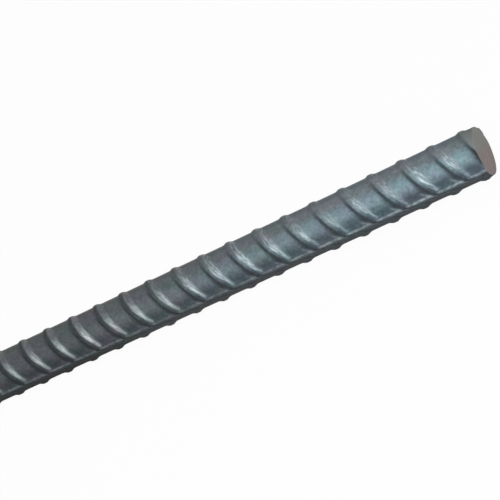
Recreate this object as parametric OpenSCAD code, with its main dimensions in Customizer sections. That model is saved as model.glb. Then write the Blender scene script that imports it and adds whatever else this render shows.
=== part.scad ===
// Reinforcing bar: one hot-rolled length of steel, lying along X with its middle at the origin.
// The rolls leave a round core with a lengthwise rib on each side, where the two rolls meet.
// Its slanted cross ribs are fine relief on the core and aren't part of this solid.

/* [Bar] */
// Length of the bar as it is cut and sold
bar_length = 610; // [300:1:3000]
// Diameter of the round core, measured between the ribs
core_d = 12.2; // [8:0.1:32]

/* [Lengthwise ribs] */
// How far a lengthwise rib stands out of the core
long_rib_h = 0.75; // [0.4:0.05:1.5]
// Width of a lengthwise rib across its crest
long_rib_crest_w = 1.8; // [1:0.1:3]
// How far a flank of a lengthwise rib leans away from square, in degrees
long_rib_lean = 35; // [15:1:45]
// Radius of the fillet where a flank runs out into the core
long_rib_fillet = 0.5; // [0.2:0.05:0.8]

/* [Cut ends] */
// How far the sharp edge of a cut end is broken back
end_break = 0.3; // [0.1:0.05:0.8]

/* [Hidden] */
$fn = 96;

core_r = core_d / 2;
crest_r = core_r + long_rib_h;
// The fillet never grows past the height of the rib it runs out of
fillet_r = min(long_rib_fillet, long_rib_h);

// How deep the fillet's arc dips under the flank and the core, so that they cross and don't only touch
fillet_bite = 0.01;

// Upper flank of the rib that points along +X: its crest corner, its direction down to the core,
// and the direction square to it that points out of the rib
crest_corner = [sqrt(pow(crest_r, 2) - pow(long_rib_crest_w / 2, 2)), long_rib_crest_w / 2];
flank_down = [-cos(long_rib_lean), sin(long_rib_lean)];
flank_out = [sin(long_rib_lean), cos(long_rib_lean)];
// The flank is drawn on past the crest, which the crest circle then trims
flank_top = crest_corner - long_rib_h * flank_down;

// The fillet's centre lies one fillet radius off the flank and one off the core, less the bite
fillet_offset = fillet_r - fillet_bite;
fillet_start = crest_corner + fillet_offset * flank_out;
half_slope = fillet_start * flank_down;
fillet_travel = -half_slope
    - sqrt(pow(half_slope, 2) - fillet_start * fillet_start + pow(core_r + fillet_offset, 2));
fillet_centre = fillet_start + fillet_travel * flank_down;
flank_foot = fillet_centre - fillet_offset * flank_out;

// Half of one rib: the flank and fillet above the rib's middle line
module half_rib_section() {
    difference() {
        intersection() {
            polygon([[0, 0], [flank_top.x, 0], flank_top, flank_foot, fillet_centre]);
            circle(r = crest_r);
        }
        translate(fillet_centre) circle(r = fillet_r);
    }
}

// Whole rolled section: the round core and both lengthwise ribs
module bar_section() {
    circle(d = core_d);
    for (side = [0, 1], half = [0, 1])
        mirror([side, 0]) mirror([0, half]) half_rib_section();
}

// Room that the broken edges leave: a long round envelope with a cone at each end
module end_envelope() {
    waist_r = crest_r + end_break;
    end_r = core_r - end_break;
    cone_length = waist_r - end_r;
    rotate_extrude()
        polygon([
            [0, 0],
            [end_r, 0],
            [waist_r, cone_length],
            [waist_r, bar_length - cone_length],
            [end_r, bar_length],
            [0, bar_length]
        ]);
}

module rebar() {
    color("#6f7b82")
        rotate([90, 0, 90])
            translate([0, 0, -bar_length / 2])
                intersection() {
                    linear_extrude(height = bar_length) bar_section();
                    end_envelope();
                }
}

rebar();
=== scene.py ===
import math

import bmesh
import bpy
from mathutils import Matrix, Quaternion, Vector, noise


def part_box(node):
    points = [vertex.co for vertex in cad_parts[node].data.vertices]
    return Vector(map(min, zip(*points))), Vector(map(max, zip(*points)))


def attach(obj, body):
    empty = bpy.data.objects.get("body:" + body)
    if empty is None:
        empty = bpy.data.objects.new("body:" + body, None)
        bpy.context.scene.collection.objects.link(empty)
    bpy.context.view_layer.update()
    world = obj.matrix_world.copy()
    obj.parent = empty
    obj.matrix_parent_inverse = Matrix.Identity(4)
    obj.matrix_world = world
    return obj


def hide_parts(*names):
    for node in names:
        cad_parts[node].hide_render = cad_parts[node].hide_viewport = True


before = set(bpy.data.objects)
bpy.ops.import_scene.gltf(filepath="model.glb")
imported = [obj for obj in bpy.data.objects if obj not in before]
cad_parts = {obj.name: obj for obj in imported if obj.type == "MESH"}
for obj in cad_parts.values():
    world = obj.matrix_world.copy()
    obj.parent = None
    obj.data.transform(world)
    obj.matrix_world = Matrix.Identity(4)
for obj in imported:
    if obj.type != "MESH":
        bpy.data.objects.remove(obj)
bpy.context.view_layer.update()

scene = bpy.context.scene
scene.view_settings.view_transform = "Standard"

# Rolled strand
# The bar is rolled from one red-hot billet: the two rolls press a round core, leave a lengthwise rib on each
# side where they meet, and each prints its own row of slanted cross ribs, out of step with the other's.

MM = 0.001
DEGREE = math.pi / 180

low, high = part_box("rebar")
bar_length = high.x - low.x
core_radius = (high.z - low.z) / 2
crest_radius = (high.y - low.y) / 2

rib_pitch = 8.3 * MM
# How far a cross rib runs along the bar for each step round it: the tangent of its slant
rib_slant = 0.51
rib_height = 0.46 * MM
# A cross rib's crest and flanks on top of the bar, and where it runs into a lengthwise rib
rib_crest = 0.9 * MM
rib_steep_flank = 1.1 * MM
rib_gentle_flank = 1.8 * MM
side_crest = 0.4 * MM
side_steep_flank = 2.15 * MM
side_gentle_flank = 1.25 * MM
# How far its crest has swung along the bar there, and on the far side of the bar
side_swing = 0.5 * MM
far_swing = 0.3 * MM
# How much of its flanks and its height is left on the far side, because the rolls sat a little askew
far_flank_share = 0.75
far_height_share = 0.82
# How far a rib's height and its streak may be from the average, because no two grooves are worn alike
height_variation = 0.08
streak_variation = 0.2
# How far the dark line at its foot hooks on along a lengthwise rib
foot_hook = 1.0 * MM
# How far along the bar the lower row's ribs are set from the upper row's
row_stagger = 0.61 * rib_pitch
# Where the middle of the last cross rib on top lies, back from the cut end
last_rib_setback = 1.35 * MM
last_rib = high.x - last_rib_setback
middle_rib = last_rib - rib_pitch * round(last_rib / rib_pitch)
# The strand is drawn this much longer than the bar at each end, and the cuts take that off
strand_spare = 14 * MM
strand_pitches = 2 * math.ceil((bar_length / 2 + strand_spare) / rib_pitch) + 1
# How much the grid's columns crowd at the cross ribs, and its rows at the lengthwise ribs
column_crowding = 0.6
row_crowding = 0.28
# How many waves the skin has in a metre, and how near two points are joined
skin_waves = 260.0
weld_distance = 0.002 * MM

strand_sizes = {
    "Core Radius": core_radius,
    "Rib Pitch": rib_pitch,
    "Pitches": strand_pitches,
    "Columns per Pitch": 16,
    "Rows Around": 80,
    "Middle Rib": middle_rib,
    "Rib Slant": rib_slant,
    "Rib Height": rib_height,
    "Rib Crest": rib_crest,
    "Steep Flank": rib_steep_flank,
    "Gentle Flank": rib_gentle_flank,
    "Side Crest": side_crest,
    "Side Steep Flank": side_steep_flank,
    "Side Gentle Flank": side_gentle_flank,
    "Side Swing": side_swing,
    "Far Swing": far_swing,
    "Foot Hook": foot_hook,
    "Row Stagger": row_stagger,
    "Long Rib Height": crest_radius - core_radius,
    "Long Rib Crest": 7.5 * DEGREE,
    "Long Rib Foot": 15.5 * DEGREE,
    "Unevenness": 0.05 * MM,
    "Seed": 7,
}


def feed(tree, socket, value):
    """Give a node's input a fixed value, or link it to another node's output."""
    if isinstance(value, bpy.types.NodeSocket):
        tree.links.new(value, socket)
    else:
        socket.default_value = value


def add(tree, kind, *values, named=(), **settings):
    """Add a node with its settings, its inputs in order and its inputs by name."""
    node = tree.nodes.new(kind)
    for name, setting in settings.items():
        setattr(node, name, setting)
    for socket, value in zip(node.inputs, values):
        feed(tree, socket, value)
    for name, value in dict(named).items():
        feed(tree, node.inputs[name], value)
    return node


def calc(tree, operation, *values):
    """One step of arithmetic."""
    return add(tree, "ShaderNodeMath", *values, operation=operation).outputs[0]


def product(tree, first, *others):
    """Values multiplied together."""
    for other in others:
        first = calc(tree, "MULTIPLY", first, other)
    return first


def without(tree, share):
    """What is left of a whole without a share of it."""
    return calc(tree, "SUBTRACT", 1.0, share)


def ease(tree, value, start, end, before=0.0, after=1.0):
    """A soft step from one level to another while a value goes from start to end."""
    node = add(
        tree, "ShaderNodeMapRange", value, start, end, before, after, interpolation_type="SMOOTHSTEP"
    )
    return node.outputs[0]


def band(tree, value, start, full, fade, end):
    """One over a stretch of a value, with a soft start and a soft end."""
    return product(tree, ease(tree, value, start, full), ease(tree, value, fade, end, 1.0, 0.0))


def between(tree, share, first, second):
    """A value that goes from first to second as a share goes from 0 to 1."""
    return add(tree, "ShaderNodeMapRange", share, 0.0, 1.0, first, second).outputs[0]


def chance(tree, number):
    """A random share of its own for each number."""
    return add(tree, "ShaderNodeTexWhiteNoise", named={"W": number}, noise_dimensions="1D").outputs["Value"]


def keep(tree, geometry, name, field, kind):
    """Keep a field on the points under a name, for the finish to read."""
    return add(
        tree,
        "GeometryNodeStoreNamedAttribute",
        named={"Geometry": geometry, "Name": name, "Value": field},
        data_type=kind,
        domain="POINT",
    ).outputs[0]


def rolled_strand_tree(sizes, finish):
    """Geometry Nodes tree that wraps a grid round the core and lifts its ribs; a column follows a rib."""
    tree = bpy.data.node_groups.new("rolled strand", "GeometryNodeTree")
    tree.interface.new_socket("Geometry", in_out="OUTPUT", socket_type="NodeSocketGeometry")
    for name, size in sizes.items():
        kind = "NodeSocketInt" if isinstance(size, int) else "NodeSocketFloat"
        tree.interface.new_socket(name, in_out="INPUT", socket_type=kind)
    given = tree.nodes.new("NodeGroupInput").outputs

    # A flat grid of one unit each way, whose X counts pitches and whose Y goes once round the bar
    columns = calc(tree, "MULTIPLY_ADD", given["Pitches"], given["Columns per Pitch"], 1)
    rows = calc(tree, "ADD", given["Rows Around"], 1)
    grid = add(tree, "GeometryNodeMeshGrid", 1.0, 1.0, columns, rows)
    place = add(tree, "ShaderNodeSeparateXYZ", add(tree, "GeometryNodeInputPosition").outputs[0]).outputs

    # Which rib a column belongs to, and how far from its middle it is; columns crowd where the rib stands
    count = product(tree, place["X"], given["Pitches"])
    rib = calc(tree, "ROUND", count)
    share = calc(tree, "SUBTRACT", count, rib)
    wave = calc(tree, "SINE", product(tree, share, math.tau))
    crowded = calc(tree, "MULTIPLY_ADD", wave, -column_crowding / math.tau, share)
    across = product(tree, crowded, given["Rib Pitch"])

    # The angle from the top of the bar, which crowds at the lengthwise ribs on the two sides
    turn = product(tree, place["Y"], math.tau)
    bunch = calc(tree, "SINE", product(tree, turn, 2.0))
    angle = calc(tree, "MULTIPLY_ADD", bunch, row_crowding, turn)
    sine = calc(tree, "SINE", angle)
    cosine = calc(tree, "COSINE", angle)
    from_side = calc(tree, "ARCSINE", calc(tree, "ABSOLUTE", cosine))

    # Both rows slant the same way seen from the side, and the lower row starts further on
    lower = ease(tree, cosine, 0.09, -0.09)
    slanted = product(tree, calc(tree, "ARCSINE", sine), given["Core Radius"])
    along = calc(tree, "MULTIPLY_ADD", slanted, given["Rib Slant"], across)
    along = calc(tree, "MULTIPLY_ADD", lower, given["Row Stagger"], along)
    along = calc(tree, "ADD", along, given["Middle Rib"])
    along = calc(tree, "MULTIPLY_ADD", rib, given["Rib Pitch"], along)

    # A cross rib's section: a steep flank, a crest and a gentle flank, the other way round in the lower row;
    # toward the lengthwise ribs the steep flank spreads, and on the far side both flanks narrow
    spread = ease(tree, from_side, 62 * DEGREE, 22 * DEGREE)
    side = ease(tree, cosine, 0.03, -0.03, 1.0, -1.0)
    over = product(tree, across, side)
    over = calc(tree, "SUBTRACT", over, product(tree, spread, given["Side Swing"]))
    over = calc(tree, "SUBTRACT", over, product(tree, ease(tree, sine, 0.0, -0.5), given["Far Swing"]))
    narrowed = ease(tree, sine, -0.2, -0.7, 1.0, far_flank_share)
    half_crest = product(tree, between(tree, spread, given["Rib Crest"], given["Side Crest"]), 0.5)
    steep_end = product(tree, half_crest, -1.0)
    steep_flank = between(tree, spread, given["Steep Flank"], given["Side Steep Flank"])
    steep_foot = calc(tree, "SUBTRACT", steep_end, product(tree, steep_flank, narrowed))
    gentle_flank = between(tree, spread, given["Gentle Flank"], given["Side Gentle Flank"])
    gentle_foot = calc(tree, "ADD", half_crest, product(tree, gentle_flank, narrowed))
    rise = band(tree, over, steep_foot, steep_end, half_crest, gentle_foot)

    # Each rib has its own height, and all are lower on the far side
    groove = calc(tree, "MULTIPLY_ADD", rib, 2.0, calc(tree, "ROUND", lower))
    groove = calc(tree, "ADD", groove, given["Seed"])
    uneven = between(tree, chance(tree, groove), 1 - height_variation, 1 + height_variation)
    askew = ease(tree, sine, 0.0, -0.7, 1.0, far_height_share)
    cross = product(tree, rise, given["Rib Height"], uneven, askew)

    # The lengthwise ribs, measured by the angle from the side of the bar; where a cross rib meets one they
    # share their height, which rounds the corners of the pockets between them
    long_rise = ease(tree, from_side, given["Long Rib Crest"], given["Long Rib Foot"], 1.0, 0.0)
    long_rib = product(tree, long_rise, given["Long Rib Height"])
    shared = product(tree, cross, long_rise)
    lift = calc(tree, "SUBTRACT", calc(tree, "ADD", cross, long_rib), shared)

    # The skin is a little wavy from the rolls
    core_y = product(tree, sine, given["Core Radius"])
    core_z = product(tree, cosine, given["Core Radius"])
    core_place = add(tree, "ShaderNodeCombineXYZ", along, core_y, core_z).outputs[0]
    waviness = add(
        tree, "ShaderNodeTexNoise", named={"Vector": core_place, "Scale": skin_waves, "Detail": 2.0}
    ).outputs[0]
    waviness = product(tree, calc(tree, "SUBTRACT", waviness, 0.5), given["Unevenness"])
    radius = calc(tree, "ADD", calc(tree, "ADD", given["Core Radius"], lift), waviness)
    skin_y = product(tree, radius, sine, -1.0)
    skin_z = product(tree, radius, cosine)
    skin = add(tree, "ShaderNodeCombineXYZ", along, skin_y, skin_z).outputs[0]

    # Painted shade for a rib's crease and cast shadow: on the steep flank and at its foot,
    # hooking on along the lengthwise rib
    hook = product(tree, ease(tree, from_side, 15 * DEGREE, 9 * DEGREE), given["Foot Hook"])
    hooked = calc(tree, "SUBTRACT", over, hook)
    foot_start = calc(tree, "SUBTRACT", steep_foot, 0.5 * MM)
    foot_middle = calc(tree, "ADD", steep_foot, 0.3 * MM)
    foot_fade = calc(tree, "SUBTRACT", steep_end, between(tree, spread, 0.4 * MM, 1.3 * MM))
    foot_end = calc(tree, "ADD", steep_end, between(tree, spread, 0.2 * MM, -0.2 * MM))
    shaded_foot = band(tree, hooked, foot_start, foot_middle, foot_fade, foot_end)

    # Where a rib is rubbed and a highlight is painted on it: on its crest and gentle flank,
    # further down the flank on top of the bar
    summit = ease(tree, from_side, 56 * DEGREE, 76 * DEGREE)
    rub_crest = calc(tree, "MULTIPLY_ADD", summit, 0.4 * MM, half_crest)
    rub_foot = calc(tree, "MULTIPLY_ADD", summit, 0.55 * MM, gentle_foot)
    rub_start = calc(tree, "SUBTRACT", rub_crest, between(tree, spread, 0.8 * MM, 0.25 * MM))
    rub_full = calc(tree, "SUBTRACT", rub_crest, between(tree, spread, 0.25 * MM, -0.35 * MM))
    rub_fade = calc(tree, "SUBTRACT", rub_foot, 0.55 * MM)
    rub_end = calc(tree, "ADD", rub_foot, 0.05 * MM)
    rubbed_and_lit = band(tree, over, rub_start, rub_full, rub_fade, rub_end)
    streak_number = calc(tree, "ADD", groove, 0.5)
    streak = between(tree, chance(tree, streak_number), 1 - streak_variation, 1 + streak_variation)
    rubbed_and_lit = product(tree, rubbed_and_lit, streak)

    # The crest's own side toward the steep flank, which is painted in shade at the dim end of the bar
    crest_fade = calc(tree, "SUBTRACT", half_crest, 0.5 * MM)
    crest_end = calc(tree, "ADD", half_crest, 0.3 * MM)
    crest_side = band(tree, over, steep_foot, steep_end, crest_fade, crest_end)

    # A corner of a pocket, where the lengthwise rib meets the next rib's steep foot, which gets a painted
    # highlight
    corner_start = calc(tree, "SUBTRACT", steep_foot, 1.6 * MM)
    corner_full = calc(tree, "SUBTRACT", steep_foot, 0.7 * MM)
    corner = band(tree, hooked, corner_start, corner_full, corner_full, steep_foot)
    corner = product(tree, corner, ease(tree, from_side, 24 * DEGREE, 15 * DEGREE))

    # A place counted across and along the ribs, apart for the two rows, which the strokes on them follow
    rib_line = calc(tree, "MULTIPLY_ADD", rib, given["Rib Pitch"], product(tree, over, side))
    row_shift = product(tree, lower, 50 * MM)
    rib_frame = add(tree, "ShaderNodeCombineXYZ", rib_line, slanted, row_shift).outputs[0]

    made = keep(tree, grid.outputs["Mesh"], "rib_frame", rib_frame, "FLOAT_VECTOR")
    made = keep(tree, made, "shaded_foot", shaded_foot, "FLOAT")
    made = keep(tree, made, "crest_side", crest_side, "FLOAT")
    made = keep(tree, made, "rubbed_and_lit", rubbed_and_lit, "FLOAT")
    made = keep(tree, made, "long_rise", long_rise, "FLOAT")
    made = keep(tree, made, "corner", corner, "FLOAT")
    made = add(tree, "GeometryNodeSetPosition", named={"Geometry": made, "Position": skin}).outputs[0]
    made = add(
        tree, "GeometryNodeMergeByDistance", named={"Geometry": made, "Distance": weld_distance}
    ).outputs[0]
    made = add(tree, "GeometryNodeSetShadeSmooth", named={"Geometry": made, "Shade Smooth": True}).outputs[0]
    made = add(tree, "GeometryNodeRealizeInstances", named={"Geometry": made}).outputs[0]
    made = add(tree, "GeometryNodeSetMaterial", named={"Geometry": made, "Material": finish}).outputs[0]
    feed(tree, tree.nodes.new("NodeGroupOutput").inputs["Geometry"], made)
    return tree


# Painted light along the bar: brightest at this place, as if a lamp stood near it, and it comes and goes
# along the bar in waves of this length
painted_light_peak = 300 * MM
painted_light_wave = 260 * MM
# The scale's tones by where they lie round the bar, painted with the light and shade that fall there: first
# at the dim end and then at the end painted brighter
flank_lit_tones = (0.074, 0.085, 0.091, 1), (0.071, 0.0965, 0.11, 1)
pocket_lit_tones = (0.06, 0.074, 0.081, 1), (0.087, 0.126, 0.151, 1)
crown_lit_tones = (0.096, 0.106, 0.114, 1), (0.065, 0.071, 0.078, 1)
long_crest_lit_tones = (0.1, 0.112, 0.118, 1), (0.14, 0.172, 0.196, 1)
long_edge_highlight_tones = (0.2, 0.222, 0.235, 1), (0.37, 0.435, 0.47, 1)
underside_shade_tones = (0.062, 0.067, 0.071, 1), (0.09, 0.113, 0.13, 1)
rusty_shade_tones = (0.064, 0.062, 0.06, 1), (0.097, 0.104, 0.104, 1)
foot_shade_tones = (0.041, 0.047, 0.051, 1), (0.06, 0.075, 0.085, 1)
warm_tone = (0.106, 0.1, 0.119, 1)
olive_tone = (0.1, 0.114, 0.11, 1)
# The tint of its gleam and of the streaks, again from the dim end to the end painted brighter, and the casts
# that shift them
gleam_tints = (0.88, 1.03, 1.09, 1), (0.755, 1.05, 1.18, 1)
streak_tints = (0.935, 1.02, 1.035, 1), (0.89, 1.025, 1.08, 1)
crown_tint = (0.87, 1.02, 1.11, 1)
teal_casts = (0.955, 1.03, 0.948, 1), (0.97, 1.02, 0.99, 1)
violet_casts = (1.045, 0.97, 1.016, 1), (1.03, 0.98, 1.01, 1)
far_cast = (0.93, 0.86, 0.84, 1)
# The end at the cut: the greyed last rib, painted shade on the skin before it, the rim and the lower and
# upper face
greyed_tone = (0.228, 0.248, 0.243, 1)
last_rib_shade_tone = (0.03, 0.042, 0.042, 1)
rim_tone = (0.03, 0.036, 0.037, 1)
low_face_tone = (0.432, 0.36, 0.354, 1)
high_face_tone = (0.415, 0.42, 0.39, 1)
# How far the greyed last rib and the rim cover the scale
greyed_cover = 0.9
rim_cover = 0.8
# How much the plain scale weighs against its gleam, where the two share the surface as paint and metal
plain_weight = 0.085


def mix(tree, share, first, second, mode="MIX"):
    """Blend two colours."""
    node = tree.nodes.new("ShaderNodeMix")
    node.data_type = "RGBA"
    node.blend_type = mode
    feed(tree, node.inputs["Factor"], share)
    for socket, value in zip((node.inputs[6], node.inputs[7]), (first, second)):
        feed(tree, socket, value)
    return node.outputs[2]


def mottle(tree, place, grain, detail=2.0, rough=0.5, stretch=(1, 1, 1)):
    """Noise with spots of about one grain, drawn out along the axes by stretch."""
    drawn_out = add(tree, "ShaderNodeMapping", named={"Vector": place, "Scale": stretch}).outputs[0]
    noise_node = add(
        tree,
        "ShaderNodeTexNoise",
        named={"Vector": drawn_out, "Scale": 1 / grain, "Detail": detail, "Roughness": rough},
    )
    return noise_node.outputs[0]


def kept_field(tree, name, output="Fac"):
    """A field that was kept on the points."""
    return add(tree, "ShaderNodeAttribute", attribute_name=name).outputs[output]


def mill_scale_finish():
    """Blue-grey scale over steel, smoother where the rolls pressed it, duller beside the lengthwise ribs,
    with light and shade painted into its colour.
    """
    material = bpy.data.materials.new("mill scale")
    material.use_nodes = True
    tree = material.node_tree
    shader = tree.nodes["Principled BSDF"]
    place = add(tree, "ShaderNodeTexCoord").outputs["Object"]
    axes = add(tree, "ShaderNodeSeparateXYZ", place).outputs
    rib_frame = kept_field(tree, "rib_frame", "Vector")
    rib_line = add(tree, "ShaderNodeSeparateXYZ", rib_frame).outputs["X"]
    shaded_foot = kept_field(tree, "shaded_foot")
    crest_side = kept_field(tree, "crest_side")
    rubbed_and_lit = kept_field(tree, "rubbed_and_lit")
    long_rise = kept_field(tree, "long_rise")
    corner = kept_field(tree, "corner")
    bare = kept_field(tree, "cut_end")
    rim = kept_field(tree, "cut_edge")
    patches = mottle(tree, place, 6 * MM)
    wander = mottle(tree, place, 4 * MM, detail=1.0)
    clouds = mottle(tree, place, 1.6 * MM)
    streaks = mottle(tree, place, 0.8 * MM, stretch=(0.3, 1, 1))
    specks = mottle(tree, place, 0.7 * MM, detail=3.0)
    strokes = mottle(tree, rib_frame, 0.5 * MM, detail=3.0, rough=0.65, stretch=(1, 0.27, 1))

    # Painted light along the bar: a share that brightens the scale toward one place as if a lamp stood there,
    # and where it is bright enough for long streaks
    wave = product(tree, calc(tree, "SUBTRACT", axes["X"], painted_light_peak), math.tau / painted_light_wave)
    painted_falloff = calc(tree, "MULTIPLY_ADD", calc(tree, "COSINE", wave), 0.5, 0.5)
    kept = ease(tree, painted_falloff, 0.1, 0.45)

    # The angle from the nearer side of the bar, the angle over the top from the near side, and what is where
    from_side = calc(tree, "ARCTAN2", calc(tree, "ABSOLUTE", axes["Z"]), calc(tree, "ABSOLUTE", axes["Y"]))
    around = calc(tree, "ARCTAN2", axes["Z"], product(tree, axes["Y"], -1.0))
    under = ease(tree, axes["Z"], 0.4 * MM, -0.7 * MM)
    above = without(tree, under)
    far = product(tree, ease(tree, axes["Y"], 0.2 * MM, 2.5 * MM), above)
    pocket = ease(tree, from_side, 26 * DEGREE, 40 * DEGREE, 1.0, 0.0)
    crown = ease(tree, from_side, 62 * DEGREE, 85 * DEGREE)
    long_crest = product(tree, ease(tree, from_side, 6 * DEGREE, 2 * DEGREE), ease(tree, painted_falloff, 0.0, 0.15))
    long_edge = band(tree, from_side, 3.5 * DEGREE, 6.5 * DEGREE, 8 * DEGREE, 11 * DEGREE)
    long_edge = product(tree, long_edge, above)

    # Painted shade at the foot of a rib, where its shadow falls, weaker on top of the bar,
    # and up over its crest at the dim end
    near_foot_shade = ease(tree, around, 52 * DEGREE, 104 * DEGREE, 1.0, 0.15)
    far_foot_shade = ease(tree, around, 125 * DEGREE, 150 * DEGREE)
    foot_shade_reach = calc(tree, "MAXIMUM", near_foot_shade, far_foot_shade)
    crest_shade = ease(tree, painted_falloff, 0.5, 0.1, 0.0, 0.8)
    crest_shade = product(tree, crest_side, crest_shade, ease(tree, from_side, 25 * DEGREE, 50 * DEGREE))
    painted_foot_shade = calc(tree, "MAXIMUM", product(tree, foot_shade_reach, shaded_foot), crest_shade)

    # The body of the scale round the bar with its painted light and shade, and warm and olive patches
    body = mix(tree, painted_falloff, *flank_lit_tones)
    body = mix(tree, pocket, body, mix(tree, painted_falloff, *pocket_lit_tones))
    body = mix(tree, crown, body, mix(tree, painted_falloff, *crown_lit_tones))
    warm = product(tree, ease(tree, patches, 0.48, 0.66), between(tree, painted_falloff, 0.7, 0.3))
    body = mix(tree, warm, body, warm_tone)
    olive = product(tree, ease(tree, patches, 0.46, 0.34, 0.0, 0.6), crown)
    body = mix(tree, olive, body, olive_tone)

    # The crest of a lengthwise rib, and a painted highlight on its upper edge and in the corners of the
    # pockets
    body = mix(tree, long_crest, body, mix(tree, painted_falloff, *long_crest_lit_tones))
    pale = mix(tree, ease(tree, painted_falloff, 0.5, 1.0), *long_edge_highlight_tones)
    body = mix(tree, product(tree, long_edge, ease(tree, clouds, 0.35, 0.6, 0.4, 1.0)), body, pale)
    body = mix(tree, product(tree, corner, between(tree, painted_falloff, 0.15, 0.45)), body, pale)

    # Painted shade on the underside, mottled with rust, darker further down
    underside_shade = mix(tree, painted_falloff, *underside_shade_tones)
    underside_shade = mix(tree, ease(tree, clouds, 0.45, 0.62), underside_shade, mix(tree, painted_falloff, *rusty_shade_tones))
    deeper_shade = ease(tree, axes["Z"], -0.8 * MM, -2.2 * MM, 1.0, between(tree, painted_falloff, 0.4, 0.88))
    underside_shade = mix(tree, 1.0, underside_shade, deeper_shade, "MULTIPLY")
    body = mix(tree, under, body, underside_shade)
    # Then the painted shade at the foot of each rib
    body = mix(tree, painted_foot_shade, body, mix(tree, painted_falloff, *foot_shade_tones))

    # Fine specks all over, and painted shade low on the near flank at the dim end
    dim_end_shade = ease(tree, painted_falloff, 0.16, 0.0, 0.0, 0.15)
    dim_end_shade = product(tree, dim_end_shade, band(tree, around, 4 * DEGREE, 18 * DEGREE, 45 * DEGREE, 85 * DEGREE))
    speckled = ease(tree, specks, 0.25, 0.75, 0.82, 1.18)
    clouded = ease(tree, clouds, 0.25, 0.75, 0.94, 1.06)
    tone = product(tree, speckled, clouded, without(tree, dim_end_shade))
    body = mix(tree, 1.0, body, tone, "MULTIPLY")

    # The skin at the cut: the last rib greyed, painted shade on the skin before it, and a dark rim
    beyond = last_rib - middle_rib
    greyed = ease(tree, rib_line, beyond - 0.85 * MM, beyond - 0.25 * MM)
    greyed = product(tree, greyed, ease(tree, axes["Y"], 4.4 * MM, 6.0 * MM, 1.0, 0.0))
    body = mix(tree, product(tree, greyed, greyed_cover), body, greyed_tone)
    last_rib_shade = ease(tree, rib_line, beyond - 4.4 * MM, beyond - 1.2 * MM, 0.0, 0.55)
    last_rib_shade_around = ease(tree, around, 38 * DEGREE, 75 * DEGREE, 1.0, 0.25)
    off_long_rib = ease(tree, from_side, 18 * DEGREE, 32 * DEGREE)
    last_rib_shade = product(tree, last_rib_shade, without(tree, greyed), last_rib_shade_around, off_long_rib)
    body = mix(tree, last_rib_shade, body, last_rib_shade_tone)
    rim = product(tree, rim, without(tree, greyed), ease(tree, from_side, 14 * DEGREE, 30 * DEGREE))
    rim = product(tree, rim, rim_cover)
    body = mix(tree, rim, body, rim_tone)

    # The bare face of the cut, greener toward the top, with fine lines from the blade
    blade = mottle(tree, place, 0.3 * MM, stretch=(1, 0.06, 1))
    aloft = calc(tree, "ADD", axes["Z"], axes["Y"])
    aloft = calc(tree, "MULTIPLY_ADD", calc(tree, "SUBTRACT", patches, 0.5), 6 * MM, aloft)
    face = mix(tree, ease(tree, aloft, -2 * MM, 3 * MM), low_face_tone, high_face_tone)
    face = mix(tree, 1.0, face, ease(tree, blade, 0.25, 0.75, 0.88, 1.1), "MULTIPLY")
    body = mix(tree, bare, body, face)

    # How much of the skin is scale that can gleam
    skin = without(tree, calc(tree, "MAXIMUM", rim, bare))
    skin = product(tree, skin, calc(tree, "MULTIPLY_ADD", greyed, -greyed_cover, 1.0), without(tree, last_rib_shade))

    # The streaks on the ribs, partly wear and partly painted highlight: strokes along the rib, brightest low
    # on the near flank and near the cut, and stronger toward the end painted brighter
    gap_wear = between(tree, painted_falloff, 0.66, 0.34)
    stroke_wear = between(tree, painted_falloff, 1.18, 1.56)
    stroked = ease(tree, strokes, 0.36, 0.62, gap_wear, stroke_wear)
    reach_start = between(tree, kept, 36 * DEGREE, 52 * DEGREE)
    reach_end = between(tree, kept, 96 * DEGREE, 114 * DEGREE)
    brightest = between(tree, kept, 1.17, 1.06)
    faintest = between(tree, kept, 0.42, 0.55)
    highlight_reach = ease(tree, around, reach_start, reach_end, brightest, faintest)
    side_fade = ease(tree, from_side, 8 * DEGREE, 36 * DEGREE, 0.52, 1.0)
    fainter = ease(tree, from_side, 45 * DEGREE, 25 * DEGREE)
    fainter = product(tree, fainter, ease(tree, painted_falloff, 0.5, 1.0, 0.0, 0.35))
    near_cut = ease(tree, axes["X"], high.x - 19 * MM, high.x - 12 * MM, 1.0, 1.45)
    wear_and_highlight = product(tree, rubbed_and_lit, without(tree, long_rise), stroked, without(tree, crest_shade), highlight_reach, above)
    wear_and_highlight = product(tree, wear_and_highlight, side_fade, without(tree, fainter), near_cut)

    # The gleam where the rolls pressed the scale, and in the streaks; as painted sheen it is stronger toward
    # the end painted brighter, weaker in the painted shade at a rib's foot, and none on the underside
    ragged = calc(tree, "MULTIPLY_ADD", calc(tree, "SUBTRACT", clouds, 0.5), 11 * DEGREE, from_side)
    pressed = ease(tree, ragged, 17 * DEGREE, 50 * DEGREE)
    pressed = product(tree, pressed, ease(tree, around, 88 * DEGREE, 116 * DEGREE, 1.0, 0.5))
    gleam = product(tree, pressed, between(tree, painted_falloff, 0.09, 0.29), above)
    gleam = product(tree, gleam, calc(tree, "MULTIPLY_ADD", painted_foot_shade, -0.9, 1.0), tone)
    gleam = calc(tree, "MAXIMUM", gleam, product(tree, wear_and_highlight, ease(tree, painted_falloff, 0.5, 1.0, 0.4, 0.32)))
    gleam = product(tree, gleam, skin)

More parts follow.
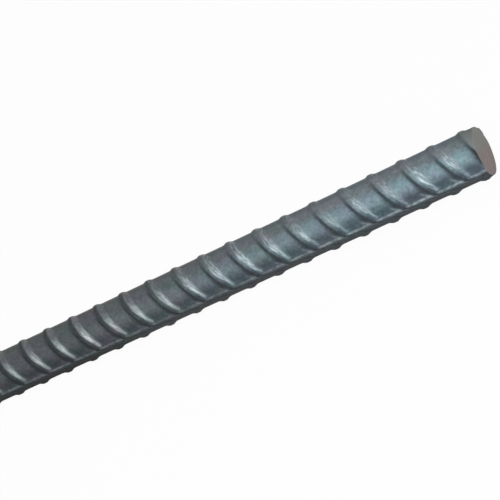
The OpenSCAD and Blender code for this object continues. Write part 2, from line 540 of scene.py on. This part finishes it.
    # Its colour wanders between teal and violet, furthest at the dim end, and is warmer on the far side
    teal = mix(tree, painted_falloff, *teal_casts)
    violet = mix(tree, painted_falloff, *violet_casts)
    cast = mix(tree, ease(tree, wander, 0.36, 0.64), teal, violet)
    cast = mix(tree, far, cast, mix(tree, 1.0, cast, far_cast, "MULTIPLY"))
    body = mix(tree, skin, body, mix(tree, 1.0, body, cast, "MULTIPLY"))
    tint = mix(tree, ease(tree, painted_falloff, 0.05, 0.65), *gleam_tints)
    tint = mix(tree, crown, tint, crown_tint)
    tint = mix(tree, 1.0, tint, cast, "MULTIPLY")
    tint = mix(tree, wear_and_highlight, tint, mix(tree, kept, *streak_tints))
    shine = mix(tree, 1.0, tint, gleam, "MULTIPLY")
    feed(tree, shader.inputs["Base Color"], mix(tree, 1.0, body, shine, "ADD"))
    whole = calc(tree, "ADD", gleam, plain_weight)
    feed(tree, shader.inputs["Metallic"], calc(tree, "DIVIDE", gleam, whole))

    # Rougher toward the end painted brighter, in the streaks, and on the underside
    rough = calc(tree, "ADD", ease(tree, specks, 0.2, 0.8, 0.45, 0.6), product(tree, painted_falloff, 0.1))
    rough = calc(tree, "MULTIPLY_ADD", wear_and_highlight, 0.1, rough)
    rougher_below = product(tree, under, skin, ease(tree, painted_falloff, 0.22, 0.02))
    rough = calc(tree, "MULTIPLY_ADD", rougher_below, 0.2, rough)
    feed(tree, shader.inputs["Roughness"], rough)
    shader.inputs["Specular IOR Level"].default_value = 0.1

    grit = calc(tree, "MULTIPLY_ADD", specks, 0.6, product(tree, streaks, 0.4))
    bump = add(tree, "ShaderNodeBump", named={"Strength": 0.5, "Distance": 0.2 * MM, "Height": grit})
    feed(tree, shader.inputs["Normal"], bump.outputs[0])
    return material


strand = bpy.data.objects.new("rolled_strand", bpy.data.meshes.new("rolled_strand"))
scene.collection.objects.link(strand)
finish = mill_scale_finish()
rolling = strand.modifiers.new("Rolling", "NODES")
rolling.node_group = rolled_strand_tree(strand_sizes, finish)
for item in rolling.node_group.interface.items_tree:
    if item.in_out == "INPUT":
        rolling[item.identifier] = strand_sizes[item.name]
evaluated = strand.evaluated_get(bpy.context.evaluated_depsgraph_get())
bar_mesh = bpy.data.meshes.new_from_object(evaluated)
strand.modifiers.remove(rolling)
bpy.data.objects.remove(strand)

# Cut ends
# The cooled strand is cropped to length. The cut leaves each end a little out of square, with a soft edge,
# and a bare face that soon goes from bright steel to a dull taupe.

edge_round = 0.15 * MM
# The blade presses the ribs in toward the core over this length, and this share of them is left at the cut
pressed_length = 1.4 * MM
pressed_share = 0.7
# The scale is bruised dark over this share of that length
rim_share = 0.6
# How far each cut leans out of square
near_lean = (0.0, -0.009, -0.019)
far_lean = (0.0, -0.03, 0.02)
# The rings of points on a face, as shares of its radius, and the height and grain of its unevenness
face_rings = (0.88, 0.7, 0.5, 0.3, 0.12)
face_relief = 0.08 * MM
face_grain = 2.5 * MM


def shrink(vert, scale):
    """Draw a point of the skin in toward the bar's axis."""
    vert.co.y *= scale
    vert.co.z *= scale


def cut_strand(bm, end, outward, lean):
    """Cut the strand off at one end, round the edge of the cut and close it with a slightly uneven face."""
    normal = (Vector((outward, 0, 0)) + Vector(lean)).normalized()
    centre = Vector((end, 0, 0))
    edge = bm.verts.layers.float["cut_edge"]
    bare = bm.verts.layers.float["cut_end"]
    for vert in bm.verts:
        behind = (centre - vert.co).dot(normal) / pressed_length
        radius = math.hypot(vert.co.y, vert.co.z)
        if behind < 1 and radius > core_radius:
            share = pressed_share + (1 - pressed_share) * max(behind, 0) ** 2
            shrink(vert, (core_radius + (radius - core_radius) * share) / radius)
        if behind < rim_share:
            vert[edge] = 1 - max(behind, 0) / rim_share
    # Rings of points at the cut and just behind it, then all the skin there set in to follow a quarter circle
    for bend in (90, 45, 0):
        depth = edge_round * (1 - math.cos(bend * DEGREE))
        cut = bmesh.ops.bisect_plane(
            bm,
            geom=bm.verts[:] + bm.edges[:] + bm.faces[:],
            dist=weld_distance,
            plane_co=centre - normal * depth,
            plane_no=normal,
            clear_outer=bend == 0,
        )
    for vert in bm.verts:
        short = edge_round - (centre - vert.co).dot(normal)
        if short > 0:
            inset = edge_round - math.sqrt(max(edge_round**2 - short**2, 0))
            shrink(vert, 1 - inset / math.hypot(vert.co.y, vert.co.z))
            vert[edge] = 1.0
    ring = [item for item in cut["geom_cut"] if isinstance(item, bmesh.types.BMVert)]
    ring.sort(key=lambda vert: math.atan2(vert.co.z, vert.co.y))
    for vert in ring:
        vert[edge] = 0.0
        vert[bare] = 1.0
    # The face, ring by ring from its rim to its middle
    outer = ring
    for share in face_rings:
        inner = []
        for vert in ring:
            spot = centre.lerp(vert.co, share)
            relief = face_relief * (1 - share) * noise.noise(spot / face_grain)
            inner.append(bm.verts.new(spot + normal * relief))
            inner[-1][bare] = 1.0
        for first in range(len(ring)):
            second = (first + 1) % len(ring)
            face = bm.faces.new((outer[first], outer[second], inner[second], inner[first]))
            face.smooth = True
        outer = inner
    hub = bm.verts.new(centre)
    hub[bare] = 1.0
    for first in range(len(ring)):
        face = bm.faces.new((outer[first], outer[(first + 1) % len(ring)], hub))
        face.smooth = True


bm = bmesh.new()
bm.from_mesh(bar_mesh)
bm.verts.layers.float.new("cut_end")
bm.verts.layers.float.new("cut_edge")
cut_strand(bm, high.x, 1, near_lean)
cut_strand(bm, low.x, -1, far_lean)
bmesh.ops.recalc_face_normals(bm, faces=bm.faces)
bm.to_mesh(bar_mesh)
bm.free()

bar_mesh.materials.clear()
bar_mesh.materials.append(finish)
bar = bpy.data.objects.new("rebar_bar", bar_mesh)
scene.collection.objects.link(bar)
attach(bar, "root")
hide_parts("rebar")

# Floor and wall
# A plain pale sheet under the bar, which lies on the crests of its lower cross ribs, and a low pale wall far
# off on all sides that hides the horizon. Both look white, also in the steel's gloss, and otherwise give the
# bar only a little light.

sky_strength = 0.18
floor_level = min(vert.co.z for vert in bar_mesh.vertices)
floor_half = 8.0
wall_height = 1.0
# How bright the floor is to diffuse light and as seen, and how far its white glow covers that when it is seen
floor_tone = 0.3
floor_seen_tone = 0.92
floor_glow = 0.96
white = (1, 1, 1, 1)


def stage_sheet(name, points, faces):
    """A plain sheet with an empty material; returns the material's nodes."""
    mesh = bpy.data.meshes.new(name)
    mesh.from_pydata(points, [], faces)
    sheet = bpy.data.objects.new(name, mesh)
    scene.collection.objects.link(sheet)
    paint = bpy.data.materials.new("pale " + name)
    paint.use_nodes = True
    paint.node_tree.nodes.clear()
    mesh.materials.append(paint)
    return paint.node_tree


def looked_at(tree):
    """One for what the camera sees, also by way of metal or glass, and nothing for other light."""
    path = add(tree, "ShaderNodeLightPath").outputs
    seen = calc(tree, "MAXIMUM", path["Is Camera Ray"], path["Is Glossy Ray"])
    return calc(tree, "MAXIMUM", seen, path["Is Transmission Ray"])


signs = ((-1, -1), (1, -1), (1, 1), (-1, 1))
foot_corners = [(x * floor_half, y * floor_half, floor_level) for x, y in signs]
head_corners = [(x, y, z + wall_height) for x, y, z in foot_corners]
floor_nodes = stage_sheet("floor", foot_corners, [(0, 1, 2, 3)])
seen = looked_at(floor_nodes)
floor_shade = between(floor_nodes, seen, floor_tone, floor_seen_tone)
lit = add(floor_nodes, "ShaderNodeBsdfDiffuse", floor_shade).outputs[0]
glow = add(floor_nodes, "ShaderNodeEmission", white, 1.0).outputs[0]
cover = product(floor_nodes, seen, floor_glow)
covered = add(floor_nodes, "ShaderNodeMixShader", cover, lit, glow).outputs[0]
add(floor_nodes, "ShaderNodeOutputMaterial", covered)

wall_faces = [(i, (i + 1) % 4, (i + 1) % 4 + 4, i + 4) for i in range(4)]
wall_nodes = stage_sheet("wall", foot_corners + head_corners, wall_faces)
wall_strength = between(wall_nodes, looked_at(wall_nodes), sky_strength, 1.0)
wall_glow = add(wall_nodes, "ShaderNodeEmission", white, wall_strength).outputs[0]
add(wall_nodes, "ShaderNodeOutputMaterial", wall_glow)

# Light
# A tall soft lamp in front of the bar near the camera, two weak soft ones for the far end and the back, and
# an even sky.

world = bpy.data.worlds.new("even sky")
scene.world = world
world.use_nodes = True
sky = world.node_tree.nodes["Background"]
sky.inputs["Color"].default_value = white
sky.inputs["Strength"].default_value = sky_strength


def soft_lamp(name, spot, target, energy, width, height=None):
    """A soft lamp at a spot, turned to a target: a disk, or a rectangle where it has a height."""
    data = bpy.data.lights.new(name, "AREA")
    data.shape = "RECTANGLE" if height else "DISK"
    data.size = width
    if height:
        data.size_y = height
    data.energy = energy
    lamp = bpy.data.objects.new(name, data)
    scene.collection.objects.link(lamp)
    lamp.location = spot
    lamp.rotation_mode = "QUATERNION"
    lamp.rotation_quaternion = (Vector(target) - Vector(spot)).to_track_quat("-Z", "Y")


soft_lamp("key", spot=(0.44, -0.264, 0.377), target=(0.24, 0, 0), energy=2.02, width=0.28, height=0.5)
soft_lamp("far fill", spot=(-0.4, -0.4, 0.55), target=(-0.15, 0, 0), energy=0.5, width=0.5)
soft_lamp("back fill", spot=(0, 0.7, 0.25), target=(0, 0, 0), energy=0.55, width=0.7)

# Camera
# It stands off the near end and looks down along the bar, tilted so that the bar climbs to the right.

camera_azimuth = 33.64 * DEGREE
camera_elevation = 41.54 * DEGREE
camera_roll = -49.01 * DEGREE
camera_distance = 446.5 * MM
camera_aim = Vector((high.x - 65.27 * MM, 2.02 * MM, 1.19 * MM))
focal_length_px = 1800
image_width_px = 500

camera_data = bpy.data.cameras.new("camera")
camera_data.lens = camera_data.sensor_width * focal_length_px / image_width_px
camera_data.clip_start = 10 * MM
camera = bpy.data.objects.new("camera", camera_data)
scene.collection.objects.link(camera)
scene.camera = camera
back = Vector(
    (
        math.sin(camera_azimuth) * math.cos(camera_elevation),
        -math.cos(camera_azimuth) * math.cos(camera_elevation),
        math.sin(camera_elevation),
    )
)
camera.location = camera_aim + back * camera_distance
camera.rotation_mode = "QUATERNION"
camera.rotation_quaternion = (-back).to_track_quat("-Z", "Y") @ Quaternion((0, 0, 1), camera_roll)
